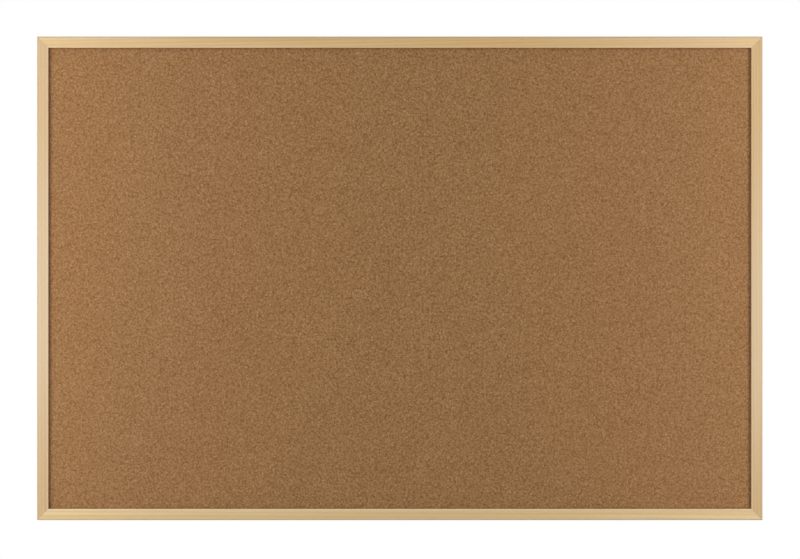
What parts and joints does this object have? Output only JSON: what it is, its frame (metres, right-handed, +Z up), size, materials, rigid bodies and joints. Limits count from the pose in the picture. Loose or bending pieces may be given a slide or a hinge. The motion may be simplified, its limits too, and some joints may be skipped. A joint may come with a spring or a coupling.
{
  "type": "cork pin board",
  "caption": "Wall-hung cork pin board: a mitred pine frame with a grooved panel of cork, fibreboard and liner, and swinging ring hangers behind.",
  "frame": {"origin": "middle of the top rail's rear face, on the plane that faces the wall", "axes": "+X to the right as seen from the front, +Y towards the wall, +Z up; the cork faces -Y"},
  "size_m": [0.9, 0.021, 0.6],
  "materials": {
    "pine": "satin",
    "cork": "matte",
    "fibreboard": "matte",
    "liner": "matte",
    "v_nail_steel": "satin",
    "hanger_steel": "satin"
  },
  "bodies": {
    "board": {"top_rail": "pine", "bottom_rail": "pine", "left_stile": "pine", "right_stile": "pine", "cork_sheet": "cork", "core_board": "fibreboard", "backing_liner": "liner", "top_left_v_nail": "v_nail_steel", "top_right_v_nail": "v_nail_steel", "bottom_left_v_nail": "v_nail_steel", "bottom_right_v_nail": "v_nail_steel", "left_hanger_strap": "hanger_steel", "right_hanger_strap": "hanger_steel", "left_hanger_screw": "hanger_steel", "right_hanger_screw": "hanger_steel"},
    "left_ring": {"left_hanger_ring": "hanger_steel"},
    "right_ring": {"right_hanger_ring": "hanger_steel"}
  },
  "joints": [
    {"name": "left_ring_swing", "type": "hinge", "parent": "board", "child": "left_ring", "pos_m": [-0.4435, 0.002, -0.083], "axis": [-1, 0, 0], "range_deg": [0, 172]},
    {"name": "right_ring_swing", "type": "hinge", "parent": "board", "child": "right_ring", "pos_m": [0.4435, 0.002, -0.083], "axis": [-1, 0, 0], "range_deg": [0, 172]}
  ]
}
